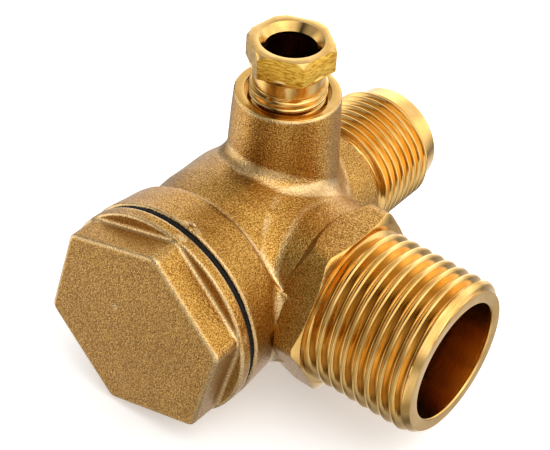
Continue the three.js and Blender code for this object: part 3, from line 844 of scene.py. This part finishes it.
def nut_head():
    """The gland nut's hexagon with its turned top and mouth; drawn flats are marked 1, turned faces 0."""
    flat = NUT["corner"] * math.cos(math.pi / 6)
    top, low, joint, joint_z = NUT["top_z"], NUT["hex_z"], NUT["joint"], NUT["joint_z"]
    slope = (top - NUT["corner_z"]) / (NUT["corner"] - NUT["top"])

    def side_at(angle):
        return hex_radius(angle, flat, NUT_CLOCK - math.pi / 2, 0.12)

    def section(angle):
        side = side_at(angle)
        chamfer_z = min(NUT["corner_z"] + (NUT["corner"] - side) * slope, top - 0.02)
        return rounded([(joint_z, NUT["bore"]), (joint_z, joint), (low, joint), (low, side - 0.2, 0.05),
                        (low + 0.16, side), (chamfer_z, side, 0.05),
                        (top, min(NUT["top"], side - 0.02), 0.06), (top, NUT["mouth"], 0.06),
                        (top - NUT["mouth_depth"], NUT["bore"], 0.1)], 2)

    points, faces = weld(*turned("z", section, 240, BOSS_AXIS, closed=True))
    x, y, _ = (middles(points, faces) - BOSS_AXIS).T
    drawn = np.hypot(x, y) > side_at(np.arctan2(y, x)) - 0.03
    return points, faces, np.where(drawn, 1, 0)


def nut_stem():
    """The gland nut's bright neck, its thread and the cone that presses on the olive."""
    start, end, low = NUT["bottom_z"], NUT["thread_z"], NUT["hex_z"]
    minor, neck, joint_z = NUT["minor"], NUT["neck"], NUT["joint_z"]
    ridge = thread("z", NUT, start, end, (minor, minor), crest_runs=(0.5, 0.25), centre=BOSS_AXIS)
    rest = rounded([(end, minor), (end + 0.1, neck, 0.05), (low - 0.5, neck, 0.5), (low + 0.3, neck + 0.5),
                    (joint_z, neck), (joint_z, NUT["bore"]), (start + NUT["cone_depth"], NUT["bore"]),
                    (start, NUT["cone"]), (start, minor)])
    return (*joined(ridge, turned("z", rest, centre=BOSS_AXIS)), 0)


def gland_nut():
    """The gland nut."""
    piece("gland_nut_piece", [nut_head(), nut_stem()], [GLAND_BRASS, DRAWN_BRASS], "gland", ["gland_nut"],
          sharp=25)


def tube_olive():
    """The olive: a short tube tapered at both ends, which bites on the unloader tube."""
    inner, end, waist = OLIVE["bore"], OLIVE["end"], OLIVE["waist"]
    low, high, taper = OLIVE["bottom_z"], OLIVE["top_z"], OLIVE["taper"]
    shell = ring("z", [(low, inner, 0.05), (low, end, 0.05), (low + taper, waist, 0.4),
                       (high - taper, waist, 0.4), (high, end, 0.05), (high, inner, 0.05)], centre=BOSS_AXIS)
    piece("tube_olive_piece", [(*shell, 0)], [GLAND_BRASS], "olive", ["tube_olive"])


# ---------------------------------------------------------------- studio

# where the camera stands, in mm about the crossing, and how it is turned, in degrees
CAMERA = dict(stand=(-135.824, -102.030, 145.127), azimuth=-54.209, elevation=39.841, roll=4.443, lens=112.66)

# The studio's lights and white cards: azimuth and elevation in degrees as seen from the valve, and strength.
SOFTBOXES = {
    "overhead": (-69, 75, 1.60),
    "over the camera": (-121, 50, 1.05),
    "right, high": (-89, 26, 0.85),
    "back, high": (49, 30, 0.90),
    "back right, high": (-36, 39, 0.15),
    "left": (114, -10, 1.45),
    "front left": (134, 22, 0.50),
    "front": (-141, 13, 0.45),
    "right": (-56, 6, 1.35),
    "far right": (-4, 17, 1.15),
    "back": (29, -2, 1.15),
    "table, left": (94, -44, 0.55),
    "table, front left": (150, -40, 0.45),
    "table, front": (-161, -17, 0.80),
    "table, by the camera": (-129, -39, 0.45),
    "table, front right": (-76, -26, 0.95),
    "table, right": (9, -35, 0.52),
    "table, under": (10, -62, 0.45),
}
ROOM_LIGHT = 0.04
# cosines of the angles off a box's middle where it ends, and within which it is at full strength
BOX_EDGE, BOX_CORE = 0.76, 0.93


def camera():
    """A camera above and to the left of the tank port, tilted a little."""
    azimuth, elevation, roll = (math.radians(CAMERA[key]) for key in ("azimuth", "elevation", "roll"))
    level = Vector((math.cos(azimuth), math.sin(azimuth), 0))
    back = Vector((math.sin(azimuth) * math.cos(elevation), -math.cos(azimuth) * math.cos(elevation),
                   math.sin(elevation)))
    upright = back.cross(level)
    right = math.cos(roll) * level + math.sin(roll) * upright
    up = math.cos(roll) * upright - math.sin(roll) * level
    data = bpy.data.cameras.new("camera")
    data.lens = CAMERA["lens"]
    data.sensor_width = 36
    data.clip_start = 0.01
    obj = bpy.data.objects.new("camera", data)
    turn = Matrix((right, up, back)).transposed().to_4x4()
    obj.matrix_world = Matrix.Translation(Vector(place(CAMERA["stand"]))) @ turn
    bpy.context.scene.collection.objects.link(obj)
    bpy.context.scene.camera = obj


def stage(name, points, faces, material):
    """A mesh of the studio, in metres, which isn't part of the valve and isn't mirrored in it."""
    mesh = bpy.data.meshes.new(name)
    mesh.from_pydata(points, [], faces)
    mesh.materials.append(material)
    obj = bpy.data.objects.new(name, mesh)
    obj.visible_glossy = False
    bpy.context.scene.collection.objects.link(obj)
    return obj


def floor():
    """A plain white floor."""
    def shader(nodes, where):
        tone = nodes.ramp(nodes.noise(where, 40, 2.0), [(0.3, 0.93), (0.7, 0.95)])
        return nodes("ShaderNodeBsdfPrincipled", {"Base Color": tone, "Roughness": 0.7,
                                                  "Specular IOR Level": 0.2, "Emission Color": WHITE,
                                                  "Emission Strength": 0.30})
    size = 3.0
    corners = [(-size, -size, 0), (size, -size, 0), (size, size, 0), (-size, size, 0)]
    stage("floor", corners, [(0, 1, 2, 3)], new_material("floor_white", shader))


def backdrop():
    """A plain white round wall at the back of the floor, which only the camera sees."""
    def shader(nodes, _where):
        return nodes("ShaderNodeEmission", {"Color": WHITE, "Strength": 1.0})
    radius, height, sides = 2.9, 4.0, 96
    points = np.concatenate([on_axis("z", z, radius, np.arange(sides) / sides * 2 * math.pi)
                             for z in (0.0, height)])
    obj = stage("backdrop", points.tolist(), grid_faces(2, sides, True),
                new_material("backdrop_white", shader))
    for kind in ("diffuse", "transmission", "volume_scatter", "shadow"):
        setattr(obj, "visible_" + kind, False)


def surroundings():
    """A dim grey room with soft boxes of light round the valve, some of them low, as from a white table."""
    world = bpy.data.worlds.new("studio")
    world.use_nodes = True
    bpy.context.scene.world = world
    nodes = Nodes(world.node_tree)
    towards = nodes("ShaderNodeTexCoord").node.outputs["Generated"]
    light = ROOM_LIGHT
    for azimuth, elevation, strength in SOFTBOXES.values():
        a, e = math.radians(azimuth), math.radians(elevation)
        middle = (math.cos(a) * math.cos(e), math.sin(a) * math.cos(e), math.sin(e))
        facing = nodes.vector("DOT_PRODUCT", towards, middle, "Value")
        box = nodes.ramp(facing, [(BOX_EDGE, 0.0), (BOX_CORE, 1.0)])
        light = nodes.math("ADD", light, nodes.math("MULTIPLY", box, strength))
    shader = nodes("ShaderNodeBackground", {"Color": (1.0, 0.99, 0.97, 1.0), "Strength": light})
    nodes("ShaderNodeOutputWorld", {"Surface": shader})


# ---------------------------------------------------------------- the valve

# spacing of the grids that the forged skins are drawn on, in mm
BODY_STEP = 0.25
CAP_STEP = 0.2
SCREW_STEP = 0.09

CAST = cast_brass()
TANK_BRASS = turned_brass("tank_brass", "y", rings_a_metre=6000.0, ring_depth=0.012, shade=0.93)
INLET_BRASS = turned_brass("inlet_brass", "x")
CAP_BRASS = turned_brass("cap_brass", "x", rings_a_metre=7000.0)
GLAND_BRASS = turned_brass("gland_brass", "z", BOSS_AXIS, rings_a_metre=12000.0, shade=0.88)
DRAWN_BRASS = drawn_brass()
SEAL_RUBBER = rubber("seal_rubber_black", 0.004)
DISC_RUBBER = rubber("disc_rubber", 0.02)
SPRING_WIRE = spring_wire()

for make in (casting, tank_spigot, tank_collar, inlet_spigot, gland_socket, cap_mouth, valve_seat, hex_cap,
             seal_ring, check_spring, poppet, disc_screw, gland_nut, tube_olive, seat_disc, disc_washer):
    make()

camera()
floor()
backdrop()
surroundings()
bpy.context.scene.view_settings.view_transform = "Standard"
